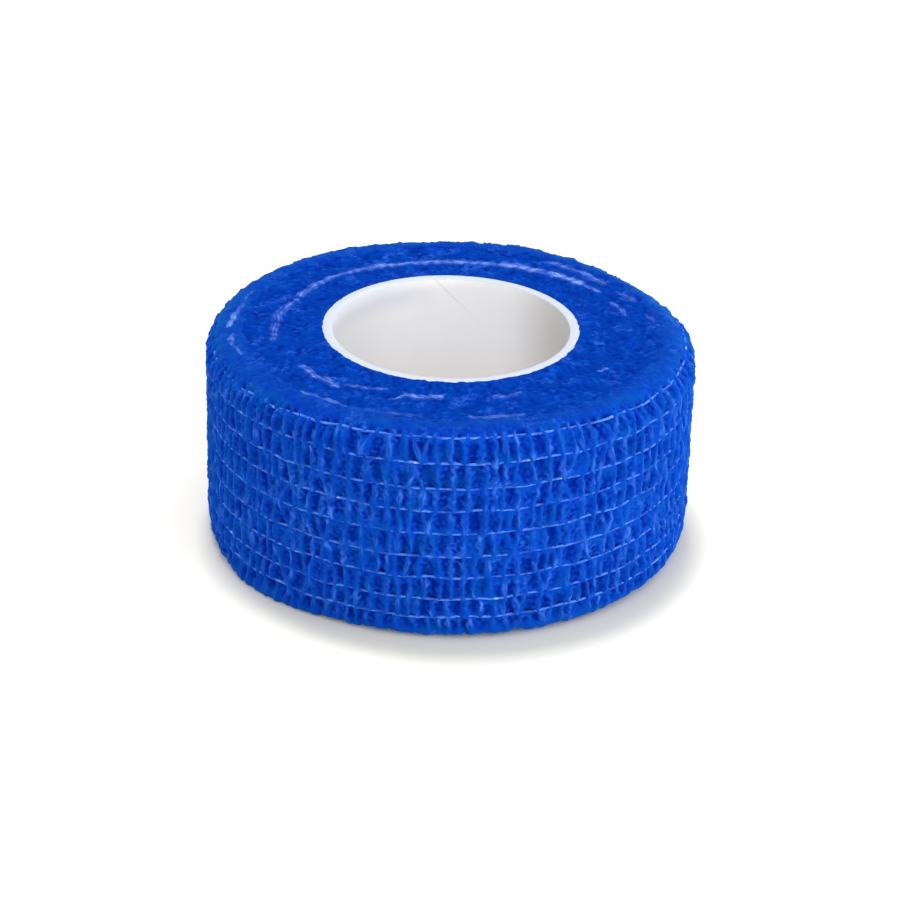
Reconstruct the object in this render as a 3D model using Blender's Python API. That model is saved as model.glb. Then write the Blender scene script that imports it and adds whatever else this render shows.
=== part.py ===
# Cohesive bandage roll: crepe cloth with lengthwise elastic threads, wound on a card core.
# It stands on its lower end with its axis up +Z, and the side seen first faces -Y.
import math

import bmesh
import bpy

MM = 0.001

# the cloth
CLOTH_WIDTH = 25.0 * MM  # the height of the standing roll
ROLL_RADIUS = 27.8 * MM  # of the outer turn, halfway round its last turn
LAYER = 0.5 * MM  # one pressed layer, so also the step at the tail end
TAIL_AZIMUTH = math.radians(165)  # where the cloth ends, seen from above, counted from the front
TAIL_SLOPE = math.radians(1.2)  # the arc over which the tail's cut edge falls to the turn below
UPPER_SHOULDER = 3.4 * MM  # radius of the outer turn's upper edge, which leans in over the end face
LOWER_SHOULDER = 1.7 * MM
INNER_EDGE = 0.4 * MM  # the corner that the first turn leaves beside the core

# the elastic threads, which draw the cloth in between puckered bands
THREADS = 9
FIRST_THREAD = 3.1 * MM  # from the base to the lowest thread, along the cloth
THREAD_PITCH = 2.66 * MM
THREAD_DEPTH = 0.25 * MM
BAND_SWELL = 0.1 * MM
GATHERS = 17  # soft lumps round each band
GATHER_SWELL = 0.1 * MM
GATHER_PHASE = 2.3  # from one band to the next, so that the lumps don't line up
TURN_RISE = 0.3 * MM  # the last turn isn't wound quite level
ROLL_WAVES = ((3, 0.6, 0.12 * MM), (7, 2.0, 0.06 * MM))  # waves a turn, phase, height

# the upper end face, where some turns stand a little higher than the rest
FACE_DROP = 0.25 * MM
RIDGES = (  # radius, half width, how far the radius shifts between front and side, phase
    (23.2 * MM, 1.0 * MM, 0.2 * MM, 2.0),
    (19.3 * MM, 1.2 * MM, 0.9 * MM, 4.8),
)
RIDGE_WAVES = 3  # how often a ridge swells and fades in a turn
RIDGE_FADE = 0.25

# the core
CORE_RADIUS = 14.75 * MM
CORE_WALL = 1.15 * MM
CORE_BEVEL = 0.15 * MM
GAP = 0.3 * MM

ROLL_STEPS = 80
CORE_STEPS = 64

CLOTH_COLOUR = (0.004, 0.060, 0.480, 1.0)
CARD_COLOUR = (0.87, 0.87, 0.90, 1.0)


def clear_scene():
    for old in list(bpy.data.objects):
        bpy.data.objects.remove(old, do_unlink=True)


def finish_material(name, colour, roughness, sheen=0.0):
    material = bpy.data.materials.new(name)
    material.use_nodes = True
    shader = material.node_tree.nodes["Principled BSDF"]
    shader.inputs["Base Color"].default_value = colour
    shader.inputs["Roughness"].default_value = roughness
    shader.inputs["Sheen Weight"].default_value = sheen
    return material


def wave_height(azimuth):
    return sum(height * math.sin(count * azimuth + phase) for count, phase, height in ROLL_WAVES)


def thread_shift(azimuth):
    """How far the last turn's threads lie above their even height."""
    return TURN_RISE * math.sin(azimuth)


def side_point(along, radius, outward):
    """A point a distance along the outer turn from the base, set outward by a little."""
    straight = CLOTH_WIDTH - UPPER_SHOULDER
    if along <= straight:
        return radius + outward, along
    turn = (along - straight) / UPPER_SHOULDER
    reach = UPPER_SHOULDER + outward
    return radius - UPPER_SHOULDER + reach * math.cos(turn), straight + reach * math.sin(turn)


def lower_points(radius):
    """The flat lower face, from the core outwards, and the lower shoulder."""
    inner = CORE_RADIUS + GAP
    points = [(inner, INNER_EDGE), (inner + INNER_EDGE, 0.0)]
    for step in range(4):
        turn = math.radians(30 * step)
        out = radius - LOWER_SHOULDER * (1 - math.sin(turn))
        points.append((out, LOWER_SHOULDER * (1 - math.cos(turn))))
    return points


def side_points(azimuth, radius):
    """The threads and the bands between them, from the lower shoulder to the end face."""
    points = []
    rise = thread_shift(azimuth)
    for thread in range(THREADS):
        along = FIRST_THREAD + thread * THREAD_PITCH + rise
        points.append(side_point(along, radius, -THREAD_DEPTH))
        gather = GATHER_SWELL * math.sin(GATHERS * azimuth + GATHER_PHASE * thread)
        if thread < THREADS - 1:
            points.append(side_point(along + THREAD_PITCH / 3, radius, BAND_SWELL + gather))
            points.append(side_point(along + 2 * THREAD_PITCH / 3, radius, BAND_SWELL - gather))
    end = CLOTH_WIDTH - UPPER_SHOULDER + UPPER_SHOULDER * math.pi / 2
    last = FIRST_THREAD + (THREADS - 1) * THREAD_PITCH + rise
    points.append(side_point(last + (end - last) / 3, radius, 0.0))
    points.append(side_point(last + 2 * (end - last) / 3, radius, -FACE_DROP / 2))
    return points


def face_points(azimuth, radius):
    """The upper end face, from the upper shoulder in to the core."""
    low = CLOTH_WIDTH - FACE_DROP
    points = [(radius - UPPER_SHOULDER, low)]
    for ridge, half_width, shift, phase in RIDGES:
        centre = ridge - shift * math.cos(2 * azimuth)
        swell = RIDGE_FADE * math.sin(RIDGE_WAVES * azimuth + phase)
        height = FACE_DROP * (1 - RIDGE_FADE + swell)
        points += [(centre + half_width, low), (centre, low + height), (centre - half_width, low)]
    inner = CORE_RADIUS + GAP
    points += [(inner + INNER_EDGE, low), (inner, low - INNER_EDGE)]
    return points


def bandage():
    """The wound cloth: a ring whose outer turn spirals out to the tail end."""
    bm = bmesh.new()
    rings = []
    for step in range(ROLL_STEPS):
        wound = step / (ROLL_STEPS - 1)
        azimuth = TAIL_AZIMUTH + TAIL_SLOPE / 2 + wound * (2 * math.pi - TAIL_SLOPE)
        radius = ROLL_RADIUS + LAYER * (wound - 0.5) + wave_height(azimuth)
        section = lower_points(radius) + side_points(azimuth, radius) + face_points(azimuth, radius)
        across, along = math.sin(azimuth), -math.cos(azimuth)
        rings.append([bm.verts.new((r * across, r * along, z)) for r, z in section])
    for this, following in zip(rings, rings[1:] + rings[:1]):
        for i in range(len(this)):
            j = (i + 1) % len(this)
            bm.faces.new((this[i], following[i], following[j], this[j]))
    bmesh.ops.recalc_face_normals(bm, faces=bm.faces[:])
    mesh = bpy.data.meshes.new("bandage")
    bm.to_mesh(mesh)
    bm.free()
    roll = bpy.data.objects.new("bandage", mesh)
    bpy.context.scene.collection.objects.link(roll)
    mesh.shade_smooth()
    mesh.set_sharp_from_angle(angle=math.radians(50))
    mesh.materials.append(finish_material("crepe_cloth", CLOTH_COLOUR, 0.75, sheen=0.3))
    return roll


def core():
    """The card tube that the cloth is wound on."""
    bpy.ops.mesh.primitive_cylinder_add(
        vertices=CORE_STEPS,
        radius=CORE_RADIUS,
        depth=CLOTH_WIDTH,
        end_fill_type="NOTHING",
        location=(0, 0, CLOTH_WIDTH / 2),
    )
    tube = bpy.context.object
    tube.name = "core"
    tube.data.name = "core"
    tube.data.shade_smooth()
    wall = tube.modifiers.new("wall", "SOLIDIFY")
    wall.thickness = CORE_WALL
    wall.offset = -1
    wall.use_even_offset = True
    edge = tube.modifiers.new("cut edge", "BEVEL")
    edge.width = CORE_BEVEL
    edge.segments = 1
    edge.limit_method = "ANGLE"
    edge.angle_limit = math.radians(40)
    tube.data.set_sharp_from_angle(angle=math.radians(40))
    tube.data.materials.append(finish_material("white_card", CARD_COLOUR, 0.6))
    return tube


clear_scene()
bandage()
core()
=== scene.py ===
import math

import bmesh
import bpy
import numpy as np
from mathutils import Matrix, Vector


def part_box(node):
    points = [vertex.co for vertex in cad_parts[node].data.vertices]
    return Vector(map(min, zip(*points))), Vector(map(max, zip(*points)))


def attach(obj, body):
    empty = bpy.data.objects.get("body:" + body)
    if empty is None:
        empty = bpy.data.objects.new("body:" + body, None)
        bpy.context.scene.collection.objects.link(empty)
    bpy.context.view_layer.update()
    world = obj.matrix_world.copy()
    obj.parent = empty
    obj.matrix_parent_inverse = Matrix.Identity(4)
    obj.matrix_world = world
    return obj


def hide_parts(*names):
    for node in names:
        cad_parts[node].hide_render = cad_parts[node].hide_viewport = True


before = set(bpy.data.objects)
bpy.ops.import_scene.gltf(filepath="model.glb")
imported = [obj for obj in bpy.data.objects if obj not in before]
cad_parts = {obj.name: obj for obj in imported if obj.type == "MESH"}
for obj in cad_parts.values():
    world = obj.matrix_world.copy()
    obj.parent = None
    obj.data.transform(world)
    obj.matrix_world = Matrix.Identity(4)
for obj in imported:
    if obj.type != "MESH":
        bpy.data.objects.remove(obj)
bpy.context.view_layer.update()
mm = 0.001

# the frame's own sizes; lengths below are in millimetres
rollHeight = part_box("bandage")[1].z / mm
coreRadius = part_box("core")[1].x / mm


# numbers and grids


def smoothStep(value, low, high):
    t = np.clip((value - low) / (high - low), 0, 1)
    return t * t * (3 - 2 * t)


def waves(rng, rows, columns, steps, pitch, spread):
    # a grid of random waves near one pitch, in mm, that run every way, with a spread of 1
    along = np.fft.fftfreq(rows, steps[0])[:, None]
    around = np.fft.fftfreq(columns, steps[1])[None, :]
    amount = np.exp(-(((np.hypot(along, around) * pitch - 1) / spread) ** 2))
    field = np.fft.ifft2(np.fft.fft2(rng.standard_normal((rows, columns))) * amount).real
    return field / field.std()


def wanderLine(rng, columns, step, pitch, spread):
    # the same along one line
    around = np.fft.fftfreq(columns, step)
    amount = np.exp(-(((abs(around) * pitch - 1) / spread) ** 2))
    line = np.fft.ifft(np.fft.fft(rng.standard_normal(columns)) * amount).real
    return line / line.std()


def lookUp(grid, row, column):
    # values between a grid's own points; columns go round, rows stop at the ends
    row = np.clip(row, 0, grid.shape[0] - 1.001)
    r0 = row.astype(int)
    c0 = np.floor(column).astype(int)
    fr = row - r0
    fc = column - c0
    c0 = c0 % grid.shape[1]
    c1 = (c0 + 1) % grid.shape[1]
    lower = grid[r0, c0] * (1 - fc) + grid[r0, c1] * fc
    upper = grid[r0 + 1, c0] * (1 - fc) + grid[r0 + 1, c1] * fc
    return lower * (1 - fr) + upper * fr


def lookAlong(line, column):
    return lookUp(np.stack([line, line]), np.zeros_like(column), column)


# shader maths


class Wire:
    # a socket in an expression; each operator adds its Math node
    def __init__(self, finish, socket):
        self.finish = finish
        self.socket = socket

    def maths(self, operation, *others):
        values = dict(enumerate((self, *others)))
        return self.finish.node("ShaderNodeMath", values, operation=operation)

    def reflected(self, operation, other):
        return self.finish.node("ShaderNodeMath", {0: other, 1: self}, operation=operation)

    def __add__(self, other):
        return self.maths("ADD", other)

    def __sub__(self, other):
        return self.maths("SUBTRACT", other)

    def __mul__(self, other):
        return self.maths("MULTIPLY", other)

    def __truediv__(self, other):
        return self.maths("DIVIDE", other)

    def __rsub__(self, other):
        return self.reflected("SUBTRACT", other)

    def __rtruediv__(self, other):
        return self.reflected("DIVIDE", other)

    __radd__ = __add__
    __rmul__ = __mul__

    def step(self, low, high, start=0.0, end=1.0):
        values = {"Value": self, "From Min": low, "From Max": high, "To Min": start, "To Max": end}
        return self.finish.node("ShaderNodeMapRange", values, interpolation_type="SMOOTHSTEP")


class Finish:
    # a material on the Principled shader
    def __init__(self, name, **constants):
        self.material = bpy.data.materials.new(name)
        self.material.use_nodes = True
        self.tree = self.material.node_tree
        self.shader = self.tree.nodes["Principled BSDF"]
        for socket, value in constants.items():
            self.shader.inputs[socket.replace("_", " ")].default_value = value

    def node(self, kind, values=None, out=0, **settings):
        made = self.tree.nodes.new(kind)
        for name, value in settings.items():
            setattr(made, name, value)
        for socket, value in (values or {}).items():
            if isinstance(value, Wire):
                self.tree.links.new(value.socket, made.inputs[socket])
            else:
                made.inputs[socket].default_value = value
        return Wire(self, made.outputs[out])

    def place(self):
        return self.node("ShaderNodeTexCoord", out="Object")

    def attribute(self, name):
        return self.node("ShaderNodeAttribute", out="Fac", attribute_name=name)

    def part(self, vector, axis):
        return self.node("ShaderNodeSeparateXYZ", {"Vector": vector}, out=axis)

    def noise(self, vector, scale, detail, roughness):
        values = {"Vector": vector, "Scale": scale, "Detail": detail, "Roughness": roughness}
        return self.node("ShaderNodeTexNoise", values, out="Fac")

    def stretch(self, vector, scale):
        return self.node("ShaderNodeMapping", {"Vector": vector, "Scale": scale})

    def blend(self, factor, first, second):
        # sockets 6 and 7 are the colours of a Mix node, and its output 2 the mixed colour
        return self.node("ShaderNodeMix", {0: factor, 6: first, 7: second}, out=2, data_type="RGBA")

    def bump(self, height, distance, strength):
        values = {"Height": height, "Distance": distance, "Strength": strength}
        return self.node("ShaderNodeBump", values)

    def feed(self, **sockets):
        for name, wire in sockets.items():
            self.tree.links.new(wire.socket, self.shader.inputs[name.replace("_", " ")])
        return self.material


# finishes; a noise is its waves a metre, its detail and its roughness,
# and each "From" says where a colour begins and where it has fully come
crepeSide = {
    # pit, middle and high follow the depth: partly the cloth's own tone, partly painted shade,
    # darkest in the pits
    "pit": (0.0, 0.015, 0.290, 1),
    "middle": (0.001, 0.051, 0.468, 1),
    "middleFrom": (0.12, 0.58),
    "high": (0.006, 0.092, 0.610, 1),
    "highFrom": (0.6, 1.0),
    "mottle": 0.38,
    "mottleNoise": (1300, 3.0, 0.6),
    "grain": 0.18,
    "grainNoise": (5000, 2.0, 0.6),
    "teal": (0.0, 0.073, 0.380, 1),  # patches that took the dye another way
    "tealFrom": (0.45, 0.75),
    "tealMost": 0.5,
    "tealNoise": (520, 2.0, 0.5),
    "line": (0.054, 0.182, 0.780, 1),  # painted highlight along the edges of the ribs
    "lineFrom": (0.08, 0.95),
    "lineGrain": 0.5,
    "fibres": 0.5,  # loose fibres, as pale as a rib's edge, in patches and not in the pits
    "fibresFrom": (0.35, 0.75),
    "fibresOff": (0.2, 0.55),
    "fibreNoise": (2600, 3.0, 0.65),
    "patchFrom": (0.42, 0.66),
    "patchNoise": (420, 2.0, 0.5),
    "strand": (0.23, 0.38, 0.93, 1),  # painted highlight on the shiny edge of a turn
    "strandFrom": (0.06, 1.05),
    "strandGrain": (0.8, 0.6),
    "roughness": 0.72,
    "roughnessSpread": 0.2,
    "strandGloss": 0.3,  # how much smoother a shiny edge is
    "gloss": 0.02,
    "sheen": 0.16,
    "sheenRoughness": 0.5,
    "sheenTint": (0.05, 0.7, 1.0, 1.0),
    "bump": 0.55,
    "bumpDepth": 0.0001,
    "fuzzNoise": (8000, 3.0, 0.7),
    "weaveNoise": (4200, 2.0, 0.5),
    "weaveStretch": (1.0, 1.0, 0.35),
}
# darker than the side: partly the turns' own cut edges, partly painted shade on faces that look up
# to the light
crepeEdges = {
    **crepeSide,
    "pit": (0.0, 0.018, 0.230, 1),
    "middle": (0.0, 0.038, 0.365, 1),
    "high": (0.004, 0.070, 0.480, 1),
    "grain": 0.22,
    "teal": (0.0, 0.048, 0.330, 1),
    "line": (0.030, 0.125, 0.680, 1),
    "fibres": 0.75,
    "gloss": 0.01,
    "sheen": 0.01,
    "bump": 0.3,
}


def crepeFinish(name, look):
    # depth is 0 down in a pit and 1 on a crest, and the colour darkens with it, partly the cloth's
    # own tone and partly painted shade; line is the edge of a rib, where a highlight is painted,
    # and shine a glossy strand with a painted highlight
    finish = Finish(
        name,
        Sheen_Weight=look["sheen"],
        Sheen_Roughness=look["sheenRoughness"],
        Sheen_Tint=look["sheenTint"],
        Specular_IOR_Level=look["gloss"],
    )
    place = finish.place()
    line = finish.attribute("line")
    shine = finish.attribute("shine")
    mottle = (finish.noise(place, *look["mottleNoise"]) - 0.5) * look["mottle"]
    fine = finish.noise(place, *look["grainNoise"])
    shade = finish.attribute("depth") + mottle + (fine - 0.5) * look["grain"]
    # from pit to middle to high by the shade: partly the cloth's own tone, partly painted shade in
    # the hollows
    colour = finish.blend(shade.step(*look["middleFrom"]), look["pit"], look["middle"])
    colour = finish.blend(shade.step(*look["highFrom"]), colour, look["high"])
    teal = finish.noise(place, *look["tealNoise"]).step(*look["tealFrom"], 0.0, look["tealMost"])
    colour = finish.blend(teal, colour, look["teal"])
    # painted highlight along the edges of the ribs
    edges = (line + (fine - 0.5) * look["lineGrain"] * line).step(*look["lineFrom"])
    colour = finish.blend(edges, colour, look["line"])
    patches = finish.noise(place, *look["patchNoise"]).step(*look["patchFrom"])
    fibres = patches * finish.noise(place, *look["fibreNoise"])
    fibres = fibres.step(*look["fibresFrom"], 0.0, look["fibres"]) * shade.step(*look["fibresOff"])
    colour = finish.blend(fibres, colour, look["line"])
    # painted highlight on the shiny strands, which are smoother too
    spread, least = look["strandGrain"]
    strands = (shine * (fine * spread + least)).step(*look["strandFrom"])
    colour = finish.blend(strands, colour, look["strand"])
    rough = (fine - 0.5) * look["roughnessSpread"] + look["roughness"] - shine * look["strandGloss"]
    fuzz = finish.noise(place, *look["fuzzNoise"])
    weave = finish.noise(finish.stretch(place, look["weaveStretch"]), *look["weaveNoise"])
    bumps = finish.bump(fuzz * 0.5 + weave * 0.5, look["bumpDepth"], look["bump"])
    return finish.feed(Base_Color=colour, Roughness=rough, Normal=bumps)


threadLook = {
    "blue": (0.018, 0.080, 0.540, 1),
    "lilac": (0.070, 0.220, 0.820, 1),
    "lilacFrom": (0.37, 0.58),
    "glint": (0.38, 0.54, 0.95, 1),
    "glintFrom": (0.64, 0.74),
    "patchNoise": (700, 2.0, 0.6),
    "roughness": 0.45,
    "roughnessSpread": 0.2,
    "gloss": 0.15,
    "bump": 0.5,
    "bumpDepth": 0.00005,
    "grainNoise": (7000, 2.0, 0.5),
}


def threadFinish(name, look):
    finish = Finish(name, Specular_IOR_Level=look["gloss"])
    place = finish.place()
    patch = finish.noise(place, *look["patchNoise"])
    colour = finish.blend(patch.step(*look["lilacFrom"]), look["blue"], look["lilac"])
    colour = finish.blend(patch.step(*look["glintFrom"]), colour, look["glint"])
    rough = (patch - 0.5) * look["roughnessSpread"] + look["roughness"]
    grain = finish.noise(place, *look["grainNoise"])
    bumps = finish.bump(grain, look["bumpDepth"], look["bump"])
    return finish.feed(Base_Color=colour, Roughness=rough, Normal=bumps)


sideCrepe = crepeFinish("crepeSide", crepeSide)
edgeCrepe = crepeFinish("crepeEdges", crepeEdges)
elastic = threadFinish("elasticThread", threadLook)
print("finishes are ready")


# modelling helpers


def deselectAll():
    for other in bpy.context.selected_objects:
        other.select_set(False)


def named(name):
    made = bpy.context.object
    made.name = name
    made.data.name = name
    return made


def edit(piece):
    deselectAll()
    piece.select_set(True)
    bpy.context.view_layer.objects.active = piece
    bpy.ops.object.mode_set(mode="EDIT")


def pick(piece, test):
    # selects the vertices, and the edges and faces between them, that pass a test on their place
    bpy.ops.mesh.select_mode(type="VERT")
    bpy.ops.mesh.select_all(action="DESELECT")
    shape = bmesh.from_edit_mesh(piece.data)
    for vertex in shape.verts:
        vertex.select = test(vertex.co)
    shape.select_flush_mode()
    bmesh.update_edit_mesh(piece.data)


def finishPiece(piece, material, slot, *replaced):
    # the look of a piece, what it rides on and what it stands for
    piece.data.materials.clear()
    piece.data.materials.append(material)
    piece.data.shade_smooth()
    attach(piece, "root")
    if replaced:
        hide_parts(*replaced)


def ringPlaces(piece):
    # each vertex's radius, its azimuth, counted from the front towards +X, and its height
    flat = np.empty(len(piece.data.vertices) * 3)
    piece.data.vertices.foreach_get("co", flat)
    x, y, z = (flat.reshape(-1, 3) / mm).T
    return np.hypot(x, y), np.arctan2(x, -y), z


def roundAxis(radius, azimuth, z):
    return np.stack([radius * np.sin(azimuth), -radius * np.cos(azimuth), z], 1)


def setPlaces(piece, radius, azimuth, z):
    piece.data.vertices.foreach_set("co", (roundAxis(radius, azimuth, z) * mm).ravel())
    piece.data.update()


def setAttribute(piece, name, values):
    made = piece.data.attributes.new(name, "FLOAT", "POINT")
    made.data.foreach_set("value", values.astype(np.float32))


def ringBlank(name, inner, outer, low, high, cuts, cutSide, columns):
    # a rectangle beside the axis, one side of it cut finely, screwed round into a ring
    deselectAll()
    bpy.ops.mesh.primitive_plane_add(size=1, location=(0, 0, 0), rotation=(0, 0, 0))
    piece = named(name)
    edit(piece)
    bpy.ops.mesh.delete(type="ONLY_FACE")
    bpy.ops.mesh.select_all(action="SELECT")
    bpy.ops.transform.rotate(value=math.pi / 2, orient_axis="X", center_override=(0, 0, 0))
    size = ((outer - inner) * mm, 1, (high - low) * mm)
    bpy.ops.transform.resize(value=size, center_override=(0, 0, 0))
    bpy.ops.transform.translate(value=((inner + outer) / 2 * mm, 0, (low + high) / 2 * mm))
    near = 0.01 * mm
    onSide = {
        "outer": lambda co: co.x > outer * mm - near,
        "top": lambda co: co.z > high * mm - near,
        "bottom": lambda co: co.z < low * mm + near,
    }
    pick(piece, onSide[cutSide])
    bpy.ops.mesh.subdivide(number_cuts=cuts)
    bpy.ops.object.mode_set(mode="OBJECT")
    ring = piece.modifiers.new("ring", "SCREW")
    ring.axis = "Z"
    ring.angle = 2 * math.pi
    ring.steps = columns
    ring.render_steps = columns
    ring.use_merge_vertices = True
    ring.merge_threshold = near
    bpy.ops.object.modifier_apply(modifier="ring")
    edit(piece)
    bpy.ops.mesh.select_all(action="SELECT")
    bpy.ops.mesh.normals_make_consistent(inside=False)
    bpy.ops.object.mode_set(mode="OBJECT")
    return piece


# strokes of smooth, shiny edge on the upper face, with a painted highlight, counted in degrees from
# the front and in mm
shineNames = ("start", "end", "startRadius", "endRadius", "width", "strength")
shineStrokes = (
    (-92, -76, 19.9, 20.5, 0.34, 0.55),
    (-113, -90, 19.3, 19.9, 0.26, 0.60),
    (-104, -90, 20.2, 20.5, 0.18, 0.45),
    (-133, -112, 19.6, 19.4, 0.34, 0.75),
    (-149, -130, 19.3, 19.8, 0.34, 0.72),
    (-166, -146, 19.0, 19.3, 0.42, 0.85),
    (-186, -163, 19.0, 19.0, 0.44, 0.85),
    (163, 179, 19.5, 19.0, 0.44, 0.80),
    (146, 165, 20.2, 19.5, 0.52, 0.95),
    (140, 158, 19.6, 19.3, 0.30, 0.60),
    (130, 147, 20.5, 20.2, 0.50, 1.05),
    (122, 131, 20.7, 20.4, 0.26, 0.85),
    (102, 115, 20.8, 20.4, 0.26, 0.60),
    (-57, -36, 20.0, 20.1, 0.25, 0.75),
    (-46, -36, 19.4, 20.3, 0.16, 0.70),
    (-37, -21, 19.3, 18.0, 0.25, 0.60),
    (-20, -13, 19.9, 18.6, 0.21, 0.75),
    (-16, -1, 18.6, 18.2, 0.32, 0.85),
    (14, 26, 18.9, 18.3, 0.28, 0.62),
    (17, 23, 18.2, 18.9, 0.22, 0.55),
    (56, 61, 19.7, 20.1, 0.14, 0.75),
    (-103, -93, 24.7, 24.8, 0.20, 0.55),
    (-97, -87, 24.9, 25.3, 0.24, 1.00),
    (-83, -79, 25.0, 25.6, 0.14, 0.75),
    (-84, -76, 25.0, 25.1, 0.14, 0.75),
    (-76, -69, 25.1, 24.8, 0.14, 0.65),
    (-112, -101, 25.0, 24.8, 0.18, 0.45),
    (-44, -27, 23.8, 23.4, 0.24, 0.65),
    (-24, -6, 23.5, 22.7, 0.30, 0.42),
    (4, 22, 22.9, 23.1, 0.30, 0.58),
    (126, 152, 22.8, 23.0, 0.38, 0.65),
    (111, 122, 23.4, 22.5, 0.30, 0.50),
    (97, 104, 23.7, 23.1, 0.18, 0.55),
)
shineLook = {
    "sway": (0.08, 0.05),  # how far a stroke wavers in and out, in two waves
    "swayWaves": (37, 83),  # waves a turn
    "patch": 0.2,  # how much it fades along its length
    "patchWaves": (61, 23),
    "strand": 0.25,  # how much it fades between its strands
    "strandSway": 0.25,
    "strandPitch": 15,  # radians a mm
    "strandWaves": (19, 9),
    "soft": 1.7,  # how wide its soft edge is, in widths
    "ends": (-0.03, 0.12),  # where it fades in, in lengths
    "ahead": 20,  # degrees before its start that still count from it
}


def shineLines(azimuth, radius):
    # 1 on a stroke and 0 off it; fine strands run along each stroke
    degrees = np.degrees(azimuth)
    shine = np.zeros_like(radius)
    wide, fine = shineLook["sway"]
    wideWaves, fineWaves = shineLook["swayWaves"]
    sway = wide * np.sin(azimuth * wideWaves + 1.2) + fine * np.sin(azimuth * fineWaves + radius)
    fade = shineLook["patch"]
    wideWaves, fineWaves = shineLook["patchWaves"]
    patch = np.sin(azimuth * wideWaves + 2 * np.sin(azimuth * fineWaves + radius))
    patch = 1 - fade + fade * patch
    fade = shineLook["strand"]
    wideWaves, fineWaves = shineLook["strandWaves"]
    strand = radius + shineLook["strandSway"] * np.sin(azimuth * wideWaves)
    strand = np.sin(strand * shineLook["strandPitch"] + azimuth * fineWaves)
    strand = 1 - fade + fade * strand
    ahead = shineLook["ahead"]
    for values in shineStrokes:
        stroke = dict(zip(shineNames, values))
        length = stroke["end"] - stroke["start"]
        t = ((degrees - stroke["start"] + ahead) % 360 - ahead) / length
        centre = stroke["startRadius"] + (stroke["endRadius"] - stroke["startRadius"]) * t + sway
        ends = smoothStep(t, *shineLook["ends"]) * smoothStep(1 - t, *shineLook["ends"])
        soft = shineLook["soft"] * stroke["width"]
        across = np.exp(-(((radius - centre) / soft) ** 2))
        shine = np.maximum(shine, stroke["strength"] * ends * across * patch * strand)
    return shine


# the outer turn
cloth = {
    "radius": 27.8,  # the outer turn, before its puckers
    "layer": 0.5,  # the tail end stands this far above the turn below
    "tailAzimuth": 165.125,  # degrees, counted from the front towards +X
    "tailJitter": 0.1,
    "tailReach": 1.5,  # how far from the cut edge the columns bend to it
    "tailLift": 0.05,
    "tailFrom": 0.992,  # share of the turn where that lift begins
    "tailFlat": 0.6,  # how much flatter the relief is beside the cut edge
    "sink": 0.12,  # how far the margin lies below the roll's top
    "upperShoulder": 3.4,
    "lowerShoulder": 1.7,
    "waves": ((3, 0.6, 0.12), (7, 2.0, 0.06)),  # waves a turn, phase, height
    "bulges": (  # azimuth and reach in degrees, height on the lower shoulder, on the upper one
        (-50, 20, 0.8, 0.0),
        (-138, 34, 0.0, 0.5),
        (125, 26, 0.0, -0.4),
        (170, 12, 0.0, 0.3),
        (50, 16, -0.2, 0.0),
    ),
    "columns": 1440,
    "spareColumns": 160,  # the pattern doesn't meet itself where the cloth ends
    "rowStep": 0.2,
    "lowerEnd": -1.9,  # where the outer turn starts, on the lower face
    "upperEnd": 29.3,  # and where it ends, on the upper face
    "cuts": (8.5, 18.9),  # where it is parted into three pieces
    "marginRadius": 23.6,  # where its margin dips under the end face
    "marginWander": 0.25,
    "marginDrop": 0.6,
    "marginSoft": (-0.3, 0.4),
    "shineRise": 0.06,
    "wall": 5.4,  # thickness of its three pieces
    "wallEnds": (0.5, 1.4),  # how far the inner wall stays from the table and from the top
    "sharpAngle": 75,
    "marginLine": (4.0, 0.8),  # pitch of its waves, and their spread
    "tailLine": (4.0, 0.6),
    "seed": 11,
}
threads = {
    "heights": (2.85, 5.1, 7.75, 10.35, 13.15, 15.9, 18.6, 21.6, 24.7),  # along the cloth
    "sag": (0.15, 0.15, 0.15, 0.15, 0.15, 0.15, 0.22, 0.4, 1.05),  # lower than that at the sides
    "rise": 0.3,  # the last turn isn't wound quite level
    "wander": 0.06,
    "wanderLine": (7.0, 0.5),
    "groove": 0.13,
    "grooveWidth": 0.22,
    "radius": 0.17,
    "thickness": (0.8, 0.4),  # least, and how much more it may be
    "depth": 0.17,
    "slack": 0.035,
    "slackWaves": 40,
    "lost": (0.76, 0.92),  # towards the left the highest thread sinks into the cloth
    "lostAside": 0.2,
    "lostDepth": 0.2,
    "points": 720,
}
threadCount = len(threads["heights"])
pucker = {
    "rib": 0.17,
    "pit": 0.44,
    "wobble": 0.07,
    "crumple": 0.04,
    "crumpleInPits": (0.6, 0.8),  # on a rib, and how much more in a pit
    "lump": 0.05,
    "swell": 0.16,  # how far a band stands out between its threads
    "swellPower": 0.6,
    "felt": 0.018,
    "grooveInPits": (0.5, 0.5),
    "grooveUnderRibs": 0.6,
    "calm": 0.6,  # how much of the relief is lost below the lowest thread
    "calmFrom": (0.3, 0.9),
    "aboveFrom": (0.1, 0.35),  # bands above the highest thread, where the margin begins
    "aboveRib": 0.9,  # how much of each is lost there
    "aboveGroove": 0.5,
    "aboveCrumple": 0.8,
}
clothWaves = {  # pitch of each field of waves, and its spread, in the order they are drawn
    "strength": (2.6, 0.6),
    "crumple": (0.7, 0.5),
    "lump": (3.1, 0.5),
    "felt": (0.9, 0.6),
    "wobble": (1.3, 0.5),
}
clothShade = {  # the attributes that the finish reads; the depth is partly the cloth's own tone and partly painted shade in the hollows
    "even": 0.56,
    "rib": 0.11,
    "pit": 0.43,
    "crumple": 0.13,
    "felt": 0.03,
    "above": 0.18,  # darker above the highest thread: painted shade where the cloth turns up onto the top
    "inwards": 0.06,  # more towards the core, up to a stop before the cloth's upper end
    "inwardsStop": 1.5,
    # how strong the painted highlight along a rib's edge is
    "line": 0.38,
    "lineSpread": 0.23,
    "lineAside": 400,  # columns, so that the lines' strength doesn't follow the ribs
}
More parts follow.
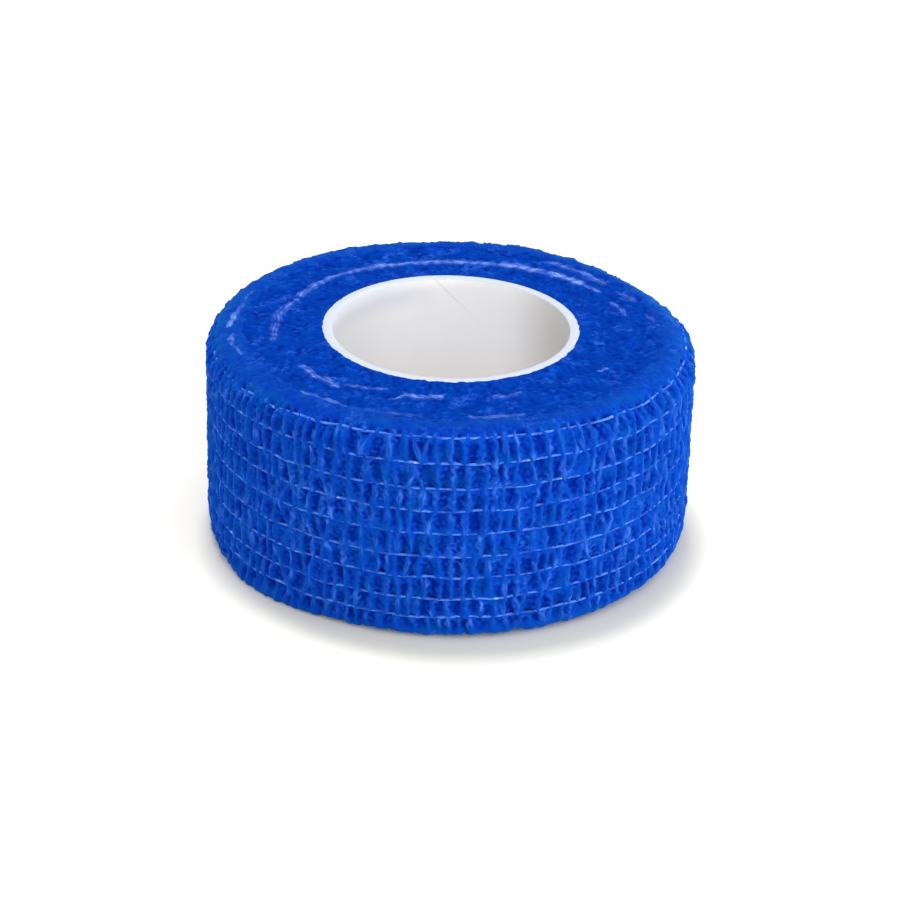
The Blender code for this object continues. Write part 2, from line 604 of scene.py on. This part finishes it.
clothRng = np.random.default_rng(cloth["seed"])
rowCount = int(round((cloth["upperEnd"] - cloth["lowerEnd"]) / cloth["rowStep"])) + 1
patternColumns = cloth["columns"] + cloth["spareColumns"]
columnStep = 2 * math.pi * cloth["radius"] / cloth["columns"]
clothSteps = (cloth["rowStep"], columnStep)


def lineAround(pitch, spread):
    return wanderLine(clothRng, patternColumns, columnStep, pitch, spread)


clothGrids = {}
for gridName, gridWaves in clothWaves.items():
    clothGrids[gridName] = waves(clothRng, rowCount, patternColumns, clothSteps, *gridWaves)
threadLines = np.stack([lineAround(*threads["wanderLine"]) for _ in threads["heights"]])
marginLine = lineAround(*cloth["marginLine"])
tailLine = wanderLine(clothRng, rowCount, cloth["rowStep"], *cloth["tailLine"])

ribs = {
    "spacing": 1.44,  # from one rib to the next, round the roll
    "uneven": 0.04,  # share of the spacing
    "spare": 3,  # the ribs start and stop this far outside the pattern
    "drift": 0.1,  # how far a rib strays to the side from one thread to the next
    "follow": 0.5,  # how much of that it keeps at the next thread
    "slip": 0.28,  # how far a band's ribs slip together against those of the next band
    "slipLine": (11, 0.5),
    "shift": 0.09,  # to the side, where a thread parts a rib in two
    "bow": 0.17,
    "merge": 0.06,  # share of ribs that meet their neighbour at a thread
    "mergeGap": 0.06,
    "power": (0.8, 0.22, 0.2, 1.2),  # mean, spread, least and most
    "width": 0.24,
    "lineWidth": 0.15,
    "split": 0.24,  # how far a rib's two edges stand apart halfway between two threads
    "splitShare": 0.45,
    "steps": 14,  # rows of the pattern for each band
    "pitPower": (0.92, 0.22, 0.4, 1.35),
    "pitHeight": (0.3, 0.7),  # where a pit is deepest, from one thread to the next
    "pitReach": (0.42, 0.72),
    "pitSoft": (0.35, 1.05),
    "pitRoom": (0.35, 1.2),  # the gap between two ribs in which a pit starts, and is whole
    "pitSharp": 1.6,
    "pitLeft": 0.25,  # of a pit's depth, where a thread holds it
    "leastGap": 0.02,
}


def scatter(mean, spread, least, most, count):
    # random strengths about a mean, kept between two limits
    return np.clip(clothRng.normal(mean, spread, count), least, most)


def ribNodes():
    # where each rib crosses each thread and how strong it is there, one row for each thread
    length = patternColumns * columnStep + 2 * ribs["spare"]
    count = int(length / ribs["spacing"])
    uneven = clothRng.uniform(-1.7, 1.7, count)  # with a spread of 1
    gaps = ribs["spacing"] * (1 + ribs["uneven"] * uneven)
    base = np.cumsum(gaps) * length / gaps.sum() - ribs["spare"]
    drift = np.zeros(count)
    nodes = []
    powers = []
    for _ in range(threadCount + 2):
        fresh = clothRng.normal(0, ribs["drift"], count)
        drift = ribs["follow"] * drift + math.sqrt(1 - ribs["follow"] ** 2) * fresh
        node = base + drift
        for index in np.flatnonzero(clothRng.random(count - 1) < ribs["merge"]):
            middle = node[index : index + 2].mean()
            node[index] = middle - ribs["mergeGap"]
            node[index + 1] = middle + ribs["mergeGap"]
        nodes.append(node)
        powers.append(scatter(*ribs["power"], count))
    return np.stack(nodes), np.stack(powers)


def ribPattern():
    # grids of rib, pit and line, each from the lower end of the cloth to its upper end
    nodes, powers = ribNodes()
    count = nodes.shape[1]
    places = np.arange(patternColumns) * columnStep
    grids = []
    for level in range(threadCount + 1):
        slip = lookAlong(lineAround(*ribs["slipLine"]), nodes[level] / columnStep) * ribs["slip"]
        bow = clothRng.normal(0, ribs["bow"], count)
        low = nodes[level] + slip + clothRng.normal(0, ribs["shift"], count)
        high = nodes[level + 1] + slip + clothRng.normal(0, ribs["shift"], count)
        split = ribs["split"] * (clothRng.random(count) < ribs["splitShare"])
        pitPower = scatter(*ribs["pitPower"], count)
        pitHeight = clothRng.uniform(*ribs["pitHeight"], count)
        pitReach = clothRng.uniform(*ribs["pitReach"], count)
        for t in np.arange(ribs["steps"]) / ribs["steps"]:
            centre = (1 - t) * low + t * high + bow * 4 * t * (1 - t)
            power = (1 - t) * powers[level] + t * powers[level + 1]
            order = np.argsort(centre)
            centre = centre[order]
            power = power[order]
            left = np.clip(np.searchsorted(centre, places) - 1, 0, count - 2)
            gap = np.maximum(centre[left + 1] - centre[left], ribs["leastGap"])
            share = np.clip((places - centre[left]) / gap, 0, 1)
            before = share * gap
            after = (1 - share) * gap
            cell = order[left]
            apart = split * math.sin(math.pi * t)
            shapes = []
            for width, offset in ((ribs["width"], 0.0), (ribs["lineWidth"], 1.0)):
                offBefore = before - offset * apart[cell]
                offAfter = after - offset * apart[order[left + 1]]
                first = power[left] * np.exp(-((offBefore / width) ** 2))
                second = power[left + 1] * np.exp(-((offAfter / width) ** 2))
                shapes.append(np.maximum(first, second))
            off = abs(t - pitHeight[cell]) / pitReach[cell]
            held = ribs["pitLeft"] + (1 - ribs["pitLeft"]) * (1 - smoothStep(off, *ribs["pitSoft"]))
            room = smoothStep(gap, *ribs["pitRoom"])
            pit = pitPower[cell] * held * room * np.sin(math.pi * share) ** ribs["pitSharp"]
            grids.append((shapes[0], pit, shapes[1]))
    return [np.stack(grid) for grid in zip(*grids)]


ribGrid, pitGrid, lineGrid = ribPattern()


def wound(azimuth):
    # how far the cloth is wound at a place, from 0 just past the tail end to 1 at it
    return (azimuth - math.radians(cloth["tailAzimuth"])) % (2 * math.pi) / (2 * math.pi)


def followTail(azimuth, along):
    # the columns beside the tail end bend to follow its cut edge
    off = (azimuth - math.radians(cloth["tailAzimuth"]) + math.pi) % (2 * math.pi) - math.pi
    uneven = lookAlong(tailLine, (along - cloth["lowerEnd"]) / cloth["rowStep"])
    reach = np.exp(-((off * cloth["radius"] / cloth["tailReach"]) ** 2))
    return azimuth + cloth["tailJitter"] / cloth["radius"] * uneven * reach


def turnRadius(azimuth, share):
    swell = sum(height * np.sin(count * azimuth + phase) for count, phase, height in cloth["waves"])
    return cloth["radius"] + cloth["layer"] * (share - 0.5) + swell


def turnPath(along, radius):
    # the outer turn's section: lower face, lower shoulder, side, upper shoulder, upper face
    low = cloth["lowerShoulder"]
    high = cloth["upperShoulder"]
    straight = rollHeight - high
    lowTurn = np.clip((low - along) / low, 0, math.pi / 2)
    highTurn = np.clip((along - straight) / high, 0, math.pi / 2)
    below = np.maximum((low - along) - low * math.pi / 2, 0)
    beyond = np.maximum((along - straight) - high * math.pi / 2, 0)
    r = radius - low * (1 - np.cos(lowTurn)) - high * (1 - np.cos(highTurn)) - (below + beyond)
    z = np.clip(along, low, straight) - low * np.sin(lowTurn) + high * np.sin(highTurn)
    return r, z, np.cos(lowTurn) * np.cos(highTurn), np.sin(highTurn) - np.sin(lowTurn)


def bulge(azimuth, out, up):
    # the shoulders bulge a little here and there
    total = 0
    degrees = np.degrees(azimuth)
    shoulder = abs(2 * out * up)
    for centre, reach, lower, upper in cloth["bulges"]:
        off = (degrees - centre + 180) % 360 - 180
        total = total + np.exp(-((off / reach) ** 2)) * np.where(up < 0, lower, upper) * shoulder
    return total


def offTurn(azimuth, along, share, height):
    # a place a little off the smooth turn, in mm from the axis and above the table
    r, z, out, up = turnPath(along, turnRadius(azimuth, share))
    height = height + bulge(azimuth, out, up)
    onTop = smoothStep(along, rollHeight - cloth["upperShoulder"], rollHeight)
    return r + height * out, z + height * up - cloth["sink"] * onTop


def threadHeight(index, azimuth):
    height = np.array(threads["heights"])[index] + threads["rise"] * np.sin(azimuth)
    return height - np.array(threads["sag"])[index] * np.sin(azimuth) ** 2


def threadPlace(along, azimuth, column):
    # which thread is nearest, counted from 0 at the bottom, and how far off it is
    rows = [threadHeight(index, azimuth) for index in range(threadCount)]
    beyond = np.minimum(along - rows[0], 0) + np.maximum(along - rows[-1], 0)
    even = beyond / (threads["heights"][1] - threads["heights"][0])
    for lower, upper in zip(rows, rows[1:]):
        even = even + np.clip((along - lower) / (upper - lower), 0, 1)
    nearest = np.clip(np.round(even), 0, threadCount - 1).astype(int)
    wander = threads["wander"] * lookUp(threadLines, nearest, column)
    return even, along - threadHeight(nearest, azimuth) - wander


def clothWave(name, row, column):
    return lookUp(clothGrids[name], row, column)


def clothHeight(azimuth, along):
    # how far the cloth stands off its smooth turn, and how its colour varies
    share = wound(azimuth)
    column = share * cloth["columns"]
    row = (along - cloth["lowerEnd"]) / cloth["rowStep"]
    even, offThread = threadPlace(along, azimuth, column)
    last = threadCount - 1
    inside = (even > 0) & (even < last)
    swell = np.where(inside, abs(np.sin(math.pi * even)) ** pucker["swellPower"], 0)
    calm = 1 - pucker["calm"] * smoothStep(-even, *pucker["calmFrom"])
    low, high = pucker["aboveFrom"]
    above = smoothStep(even, last + low, last + high)
    ribRow = (np.clip(even, -1, threadCount) + 1) * ribs["steps"]
    ribColumn = column + pucker["wobble"] * clothWave("wobble", row, column) / columnStep
    rib = lookUp(ribGrid, ribRow, ribColumn) * calm * (1 - pucker["aboveRib"] * above)
    pit = lookUp(pitGrid, ribRow, ribColumn) * calm * (1 - above)
    offTail = np.minimum(share, 1 - share) * 2 * math.pi * cloth["radius"]
    flat = 1 - cloth["tailFlat"] * np.exp(-(offTail**2))
    least, more = pucker["grooveInPits"]
    groove = np.exp(-((offThread / threads["grooveWidth"]) ** 2)) * (least + more * pit)
    groove = groove * (1 - pucker["aboveGroove"] * above)
    groove = groove * (1 - pucker["grooveUnderRibs"] * np.clip(rib, 0, 1))
    least, more = pucker["crumpleInPits"]
    crumple = clothWave("crumple", row, column) * calm * (least + more * pit)
    crumple = crumple * (1 - pucker["aboveCrumple"] * above)
    felted = above * clothWave("felt", row, column)
    height = (pucker["rib"] * rib - pucker["pit"] * pit) * flat - threads["groove"] * groove
    height = height + pucker["crumple"] * crumple
    height = height + pucker["lump"] * clothWave("lump", row, column) + pucker["felt"] * felted
    height = height + cloth["tailLift"] * smoothStep(share, cloth["tailFrom"], 1.0)
    height = height + pucker["swell"] * swell
    inwards = smoothStep(along, rollHeight, cloth["upperEnd"] - clothShade["inwardsStop"])
    # darker in the pits, lighter on ribs and crumples: partly the cloth's own tone, partly painted
    # shade
    depth = clothShade["even"] + clothShade["rib"] * rib - clothShade["pit"] * pit
    depth = depth + clothShade["crumple"] * crumple + clothShade["felt"] * felted
    # painted shade on the margin above the highest thread, more towards the core
    depth = depth - (clothShade["above"] + clothShade["inwards"] * inwards) * above
    # where the painted highlight along the ribs' edges falls, stronger in some places
    line = lookUp(lineGrid, ribRow, ribColumn) * calm * (1 - above)
    strength = clothWave("strength", row, column + clothShade["lineAside"])
    line = line * (clothShade["line"] + clothShade["lineSpread"] * strength)
    return height, np.clip(depth, 0, 1), np.clip(line, 0, 1), share, column


def placeCloth(azimuth, along):
    height, depth, line, share, column = clothHeight(azimuth, along)
    r, z = offTurn(azimuth, along, share, height)
    edge = cloth["marginRadius"] + cloth["marginWander"] * lookAlong(marginLine, column)
    onTop = (along > rollHeight - cloth["upperShoulder"]).astype(float)
    z = z - onTop * cloth["marginDrop"] * smoothStep(edge - r, *cloth["marginSoft"])
    z = np.maximum(z, 0.0)
    # the shiny strokes stand a little higher and carry a painted highlight
    shine = shineLines(azimuth, r) * onTop
    return r, z + cloth["shineRise"] * shine, depth, line, shine


def outerStrip(name, low, high):
    outer = cloth["radius"]
    inner = outer - cloth["wall"]
    rows = int(round((high - low) / cloth["rowStep"]))
    piece = ringBlank(name, inner, outer, low, high, rows - 1, "outer", cloth["columns"])
    radius, azimuth, along = ringPlaces(piece)
    outside = radius > outer - 1  # the rest is the inner wall
    r, z, depth, line, shine = placeCloth(azimuth, along)
    azimuth = np.where(outside, followTail(azimuth, along), azimuth)
    r = np.where(outside, r, inner)
    offTable, offTop = cloth["wallEnds"]
    z = np.where(outside, z, np.clip(along, offTable, rollHeight - offTop))
    setPlaces(piece, r, azimuth, z)
    setAttribute(piece, "depth", np.where(outside, depth, 0.5))
    setAttribute(piece, "line", np.where(outside, line, 0))
    setAttribute(piece, "shine", np.where(outside, shine, 0))
    finishPiece(piece, sideCrepe, "crepe", "bandage")
    piece.data.set_sharp_from_angle(angle=math.radians(cloth["sharpAngle"]))


lowerCut, upperCut = cloth["cuts"]
outerStrip("lowerTurn", cloth["lowerEnd"], lowerCut)
outerStrip("middleTurn", lowerCut, upperCut)
outerStrip("upperTurn", upperCut, cloth["upperEnd"])
print("the outer turn is wound")


# the end faces, made of the turns' edges; a field of waves has a pitch and a spread
turnEdges = {
    "columns": 1200,
    "columnRadius": 20,  # where a column's width is measured
    "radialStep": 0.122,
    "inner": 14.7,
    "outer": 24.2,
    "top": 24.76,
    "thick": 3.0,
    "lowerFace": 0.16,  # the lower face's mean height above the table
    "turn": 0.5,
    "valley": 0.05,  # between two turns
    "valleySharp": 3,
    "valleyChange": (0.6, 0.2),  # even share, and what the broad waves add
    "sway": 0.12,
    "swayWaves": (2.2, 0.4),
    "felt": 0.04,
    "feltWaves": (1.2, 0.6),
    "fine": 0.01,
    "fineWaves": (0.45, 0.5),
    "broad": 0.05,
    "broadWaves": (3.5, 0.6),
    "calm": 0.35,  # share of the felt that is left beside the core
    "calmWidth": 1.6,
    "ridge": (19.3, 0.9, 0.14, 0.8),  # radius, how far it shifts, height, half width
    "rise": 0.26,  # up to the core, beside which the cloth was never pressed down
    "riseWidths": (2.6, 2.4),
    "coreEdge": 0.05,  # how far the edge beside the core wanders
    "coreEdgeWaves": (2.4, 0.6),
    "shineRise": 0.08,
    "shadeEven": 0.56,
    "shadeFelt": 0.12,
    "shadeFine": 0.07,
    "shadeBroad": 0.1,
    # painted shade in the valleys between the turns
    "shadeValley": 0.12,
    "shadeInside": 0.4,
    "seed": 23,
}


def endFace(name, upper):
    rng = np.random.default_rng(turnEdges["seed"] + upper)
    inner = turnEdges["inner"]
    outer = turnEdges["outer"]
    step = turnEdges["radialStep"]
    columns = turnEdges["columns"]
    rows = int(round((outer - inner) / step))
    top = turnEdges["top"]
    thick = turnEdges["thick"]
    if upper:
        piece = ringBlank(name, inner, outer, top - thick, top, rows - 1, "top", columns)
    else:
        piece = ringBlank(name, inner, outer, 0, thick, rows // 2, "bottom", columns // 2)
    radius, azimuth, z = ringPlaces(piece)
    row = (radius - inner) / step
    column = (azimuth / (2 * math.pi)) * columns
    steps = (step, 2 * math.pi * turnEdges["columnRadius"] / columns)

    def wave(name):
        return lookUp(waves(rng, rows + 2, columns, steps, *turnEdges[name]), row, column)

    sway = turnEdges["sway"] * wave("swayWaves")
    turns = (radius + sway - inner) / turnEdges["turn"] - azimuth / (2 * math.pi)
    valley = (0.5 + 0.5 * np.cos(2 * math.pi * turns)) ** turnEdges["valleySharp"]
    felted = wave("feltWaves")
    fine = wave("fineWaves")
    broad = wave("broadWaves")
    even, change = turnEdges["valleyChange"]
    valley = valley * (even + change * broad)
    height = turnEdges["felt"] * felted + turnEdges["fine"] * fine + turnEdges["broad"] * broad
    calm = turnEdges["calm"]
    offCore = smoothStep(radius, inner, inner + turnEdges["calmWidth"])
    height = height * (calm + (1 - calm) * offCore)
    height = height - turnEdges["valley"] * valley
    # the shiny strokes stand a little higher and carry a painted highlight
    shine = shineLines(azimuth, radius)
    if upper:
        surface = z > top - 0.5 * thick
        middle, shift, tall, width = turnEdges["ridge"]
        off = radius - (middle - shift * np.cos(2 * azimuth))
        ridge = tall * np.exp(-((off / width) ** 2))
        far, near = turnEdges["riseWidths"]
        rise = turnEdges["rise"] * smoothStep(inner + far - radius, 0, near)
        edge = inner + turnEdges["coreEdge"] * wave("coreEdgeWaves")
        atCore = surface & (radius < inner + 0.05)
        radius = np.where(atCore, edge, radius)
        high = top + height + ridge + rise + turnEdges["shineRise"] * shine
        z = np.where(surface, high, z)
    else:
        surface = z < 0.5 * thick
        z = np.where(surface, np.maximum(turnEdges["lowerFace"] - height, 0), z)
    setPlaces(piece, radius, azimuth, z)
    # the felt, fine and broad waves are the cloth's own tone; the valleys between turns get painted
    # shade
    shade = turnEdges["shadeEven"] + turnEdges["shadeFelt"] * felted + turnEdges["shadeFine"] * fine
    shade = shade + turnEdges["shadeBroad"] * broad - turnEdges["shadeValley"] * valley
    shade = np.where(surface, shade, turnEdges["shadeInside"])
    setAttribute(piece, "depth", np.clip(shade, 0, 1))
    setAttribute(piece, "shine", np.where(surface, shine * upper, 0))
    finishPiece(piece, edgeCrepe, "crepe", "bandage")
    piece.data.set_sharp_from_angle(angle=math.radians(cloth["sharpAngle"]))


endFace("upperTurnEdges", True)
endFace("lowerTurnEdges", False)
print("the end faces are in place")


# the elastic threads


def tubeAlong(name, paths, radius):
    # curves with a square section, made one mesh
    curve = bpy.data.curves.new(name, "CURVE")
    curve.dimensions = "3D"
    curve.bevel_depth = radius * mm
    curve.bevel_resolution = 0
    curve.use_fill_caps = True
    for points, thick in paths:
        spline = curve.splines.new("POLY")
        spline.points.add(len(points) - 1)
        places = np.column_stack([points * mm, np.ones(len(points))])
        spline.points.foreach_set("co", places.ravel())
        spline.points.foreach_set("radius", thick)
    piece = bpy.data.objects.new(name, curve)
    bpy.context.scene.collection.objects.link(piece)
    deselectAll()
    piece.select_set(True)
    bpy.context.view_layer.objects.active = piece
    bpy.ops.object.convert(target="MESH")
    piece = named(name)
    edit(piece)
    bpy.ops.mesh.select_all(action="SELECT")
    bpy.ops.mesh.remove_doubles(threshold=0.001 * mm)
    bpy.ops.mesh.fill_holes(sides=12)
    bpy.ops.mesh.select_all(action="SELECT")
    bpy.ops.mesh.normals_make_consistent(inside=False)
    bpy.ops.object.mode_set(mode="OBJECT")
    return piece


def threadPath(index):
    share = (np.arange(threads["points"]) + 0.5) / threads["points"]
    azimuth = math.radians(cloth["tailAzimuth"]) + 2 * math.pi * share
    column = share * cloth["columns"]
    wander = threads["wander"] * lookUp(threadLines, np.full_like(share, index), column)
    along = threadHeight(index, azimuth) + wander
    slackLine = np.random.default_rng(index).standard_normal(threads["slackWaves"])
    slack = lookAlong(slackLine, share * threads["slackWaves"])
    height = -threads["depth"] + threads["slack"] * slack
    if index == threadCount - 1:
        lost = smoothStep(abs(np.sin(azimuth) - threads["lostAside"]), *threads["lost"])
        height = height - threads["lostDepth"] * lost
    r, z = offTurn(azimuth, along, share, height)
    least, more = threads["thickness"]
    thick = least + more * np.random.default_rng(index).random(threads["points"])
    return roundAxis(r, azimuth, z), thick


threadPaths = [threadPath(index) for index in range(threadCount)]
elasticThreads = tubeAlong("elasticThreads", threadPaths, threads["radius"])
finishPiece(elasticThreads, elastic, "crepe")
print("the elastic threads are laid in")


# the core
tube = {
    "wall": 1.15,
    "edge": 0.14,
    "edgeSegments": 3,
    "edgeAngle": 40,
    "sharpAngle": 50,
    "columns": 160,
}
cardLook = {  # heights, widths and the seam's start are in metres
    "white": (0.985, 0.985, 1.0, 1),
    "grey": (0.95, 0.95, 0.995, 1),
    "cloud": 0.6,  # share of the clouds in the change from grey to white; fibres have the rest
    "cloudNoise": (260, 3.0, 0.55),
    "fibreNoise": (5200, 3.0, 0.6),
    "shade": (0.46, 0.43, 0.40, 1),  # painted shade, warmer and darker to the right, and a little on the left
    "shadeRight": (0.4, 1.05, 0.0, 0.8),  # from and to, in radii of the bore, least and most
    "shadeLeft": (-0.45, -1.0, 0.0, 0.25),
    "coolPaintedShade": (0.66, 0.67, 0.80, 1),  # painted shade, cool and lilac, high up on the left
    "coolAcross": (0.0, -0.65, 0.0, 0.75),
    "coolHeight": (0.0205, 0.0243),
    "warmPaintedShade": (0.90, 0.84, 0.74, 1),  # painted shade, warm, low down inside the core
    "warmHeight": (0.020, 0.011, 0.0, 0.35),
    "cut": (0.57, 0.62, 0.705, 1),  # the cut edge on top, partly its own grey and partly painted shade on this upward face
    "cutDepth": (0.00016, 0.00004),
    "seamStart": 0.0022,
    "seamWidth": (0.00004, 0.0002, 1.0, 0.0),
    "seamHeight": (0.0185, 0.023),
    "seamShade": 0.3,
    "roughness": 0.55,
    "roughnessSpread": 0.15,
    "gloss": 0.4,
    "bump": 0.6,
    "bumpDepth": 0.00004,
    "bumpFibres": 0.4,
}


def cardFinish(name, look):
    finish = Finish(name, Specular_IOR_Level=look["gloss"])
    place = finish.place()
    cloud = finish.noise(place, *look["cloudNoise"])
    fibres = finish.noise(place, *look["fibreNoise"])
    mixed = cloud * look["cloud"] + fibres * (1 - look["cloud"])
    colour = finish.blend(mixed, look["grey"], look["white"])
    across = finish.part(place, "X")
    along = finish.part(place, "Y")
    height = finish.part(place, "Z")
    top = rollHeight * mm
    inside = (coreRadius - tube["wall"]) * mm
    side = across / inside
    # painted shade on the inside wall, to the right and a little on the left
    paintedShade = side.step(*look["shadeRight"]) + side.step(*look["shadeLeft"])
    colour = finish.blend(paintedShade, colour, look["shade"])
    # painted shade high up on the left of the inside wall
    coolShaded = side.step(*look["coolAcross"]) * height.step(*look["coolHeight"])
    colour = finish.blend(coolShaded, colour, look["coolPaintedShade"])
    # painted warm shade low down inside the core
    colour = finish.blend(height.step(*look["warmHeight"]), colour, look["warmPaintedShade"])
    # the seam of the paper strip winds down the inside from the back, at 45 degrees
    around = across.maths("ARCTAN2", along) * inside
    seam = (around - (top - height) + look["seamStart"]).maths("ABSOLUTE")
    seam = seam.step(*look["seamWidth"]) * height.step(*look["seamHeight"])
    colour = finish.blend(seam * look["seamShade"], colour, look["cut"])
    # the rim: partly the cut edge's own grey, partly painted shade on a face that looks up to the
    # light
    low, high = look["cutDepth"]
    colour = finish.blend(height.step(top - low, top - high), colour, look["cut"])
    rough = (cloud - 0.5) * look["roughnessSpread"] + look["roughness"]
    bumps = finish.bump(fibres * look["bumpFibres"] - seam, look["bumpDepth"], look["bump"])
    return finish.feed(Base_Color=colour, Roughness=rough, Normal=bumps)


def cardTube():
    deselectAll()
    bpy.ops.mesh.primitive_cylinder_add(
        vertices=tube["columns"],
        radius=coreRadius * mm,
        depth=rollHeight * mm,
        end_fill_type="NOTHING",
        location=(0, 0, rollHeight / 2 * mm),
    )
    piece = named("cardTube")
    bpy.ops.object.transform_apply(location=True, rotation=True, scale=True)
    wall = piece.modifiers.new("wall", "SOLIDIFY")
    wall.thickness = tube["wall"] * mm
    wall.offset = -1
    bpy.ops.object.modifier_apply(modifier="wall")
    edge = piece.modifiers.new("edge", "BEVEL")
    edge.width = tube["edge"] * mm
    edge.segments = tube["edgeSegments"]
    edge.limit_method = "ANGLE"
    edge.angle_limit = math.radians(tube["edgeAngle"])
    bpy.ops.object.modifier_apply(modifier="edge")
    finishPiece(piece, cardFinish("whiteCard", cardLook), "card", "core")
    piece.data.set_sharp_from_angle(angle=math.radians(tube["sharpAngle"]))


cardTube()
print("the core is in place")


# floor, lights and camera, placed in metres
studio = {
    "sky": (0.34, 1.2),  # from the darkest side to the brightest
    "skyTowards": (0.62, -0.75, 0.22),
    "floorSize": 3,
    "floorDrop": 0.00002,  # so that the roll's lower face stays clear of it
    "paper": (0.98, 0.975, 0.95, 1),
    "paperFrom": (0.029, 0.039),  # beyond the roll, which throws blue light on what is nearer
    "paperNoise": (3.0, 2.0, 0.5),
    "paperChange": 0.1,
    # painted tint near the roll, warmer to its right, that cancels the blue light the roll throws
    # on the floor
    "leftPaper": (0.98, 0.95, 0.84, 1),
    "rightPaper": (1.0, 0.965, 0.795, 1),
    "rightTowards": (0.8, -0.6, 0),
    "rightFrom": (-0.01, 0.02),
    "innerPaper": (0.96, 0.98, 1.0, 1),  # inside the core
    "innerTo": (0.0135, 0.0145, 1.0, 0.0),
    "roughness": 0.9,
    "gloss": 0.1,
    "lamps": (  # name, place, size, power, colour
        ("backTop", (-0.05, 0.2, 1.13), (0.2, 0.2), 6.5, (1, 1, 1)),
        ("cardRight", (0.9, -0.45, 0.06), (0.5, 0.1), 4.9, (0.9, 1.0, 0.84)),
        ("cardLeft", (-0.9, -0.3, 0.06), (0.5, 0.1), 0.8, (0.6, 1.0, 0.3)),
    ),
}
camera = {
    "lens": 115.6,
    "sensor": 36,
    "distance": 335.8,  # from the middle of the roll, in mm
    "rise": 26.46,  # degrees above level
    "roll": 1.45,
    "shift": (0.0016, -0.0284),
    "nearest": 0.01,
}


def studioFloor():
    deselectAll()
    low = (0, 0, -studio["floorDrop"])
    bpy.ops.mesh.primitive_plane_add(size=studio["floorSize"], location=low)
    piece = named("studioFloor")
    look = {"Roughness": studio["roughness"], "Specular_IOR_Level": studio["gloss"]}
    finish = Finish("floorPaper", **look)
    place = finish.place()
    reach = finish.node("ShaderNodeVectorMath", {0: place}, out="Value", operation="LENGTH")
    clouds = finish.noise(place, *studio["paperNoise"]) * studio["paperChange"]
    outwards = reach.step(*studio["paperFrom"]) * (clouds + (1 - studio["paperChange"] / 2))
    values = {0: place, 1: studio["rightTowards"]}
    towards = finish.node("ShaderNodeVectorMath", values, out="Value", operation="DOT_PRODUCT")
    # painted tint near the roll, warmer to its right, against the blue light it throws
    right = towards.step(*studio["rightFrom"])
    colour = finish.blend(right, studio["leftPaper"], studio["rightPaper"])
    colour = finish.blend(outwards, colour, studio["paper"])
    colour = finish.blend(reach.step(*studio["innerTo"]), colour, studio["innerPaper"])
    piece.data.materials.append(finish.feed(Base_Color=colour))
    bpy.ops.object.transform_apply(location=True, rotation=True, scale=True)


def softbox(name, place, size, power, colour):
    lamp = bpy.data.lights.new(name, "AREA")
    lamp.shape = "RECTANGLE"
    lamp.size, lamp.size_y = size
    lamp.energy = power
    lamp.color = colour
    made = bpy.data.objects.new(name, lamp)
    made.location = place
    made.rotation_euler = (-made.location).to_track_quat("-Z", "Y").to_euler()
    bpy.context.scene.collection.objects.link(made)


def studioSky():
    # a white room, brighter on one side
    world = bpy.data.worlds.new("studioSky")
    world.use_nodes = True
    nodes = world.node_tree.nodes
    place = nodes.new("ShaderNodeTexCoord")
    towards = nodes.new("ShaderNodeVectorMath")
    towards.operation = "DOT_PRODUCT"
    towards.inputs[1].default_value = studio["skyTowards"]
    strength = nodes.new("ShaderNodeMapRange")
    strength.inputs["From Min"].default_value = -1
    strength.inputs["To Min"].default_value, strength.inputs["To Max"].default_value = studio["sky"]
    background = nodes["Background"]
    background.inputs["Color"].default_value = (1, 1, 1, 1)
    links = world.node_tree.links
    links.new(place.outputs["Generated"], towards.inputs[0])
    links.new(towards.outputs["Value"], strength.inputs["Value"])
    links.new(strength.outputs["Result"], background.inputs["Strength"])
    bpy.context.scene.world = world


def studioLight():
    studioSky()
    for lamp in studio["lamps"]:
        softbox(*lamp)
    bpy.context.scene.view_settings.view_transform = "Standard"


def addCamera():
    data = bpy.data.cameras.new("photoCamera")
    data.lens = camera["lens"]
    data.sensor_width = camera["sensor"]
    data.shift_x, data.shift_y = camera["shift"]
    data.clip_start = camera["nearest"]
    made = bpy.data.objects.new("photoCamera", data)
    rise = math.radians(camera["rise"])
    reach = camera["distance"] * mm
    middle = rollHeight / 2 * mm
    made.location = (0, -reach * math.cos(rise), middle + reach * math.sin(rise))
    made.rotation_euler = (math.pi / 2 - rise, 0, 0)
    made.rotation_euler.rotate_axis("Z", math.radians(camera["roll"]))
    bpy.context.scene.collection.objects.link(made)
    bpy.context.scene.camera = made


studioFloor()
studioLight()
addCamera()
print("the studio is set")
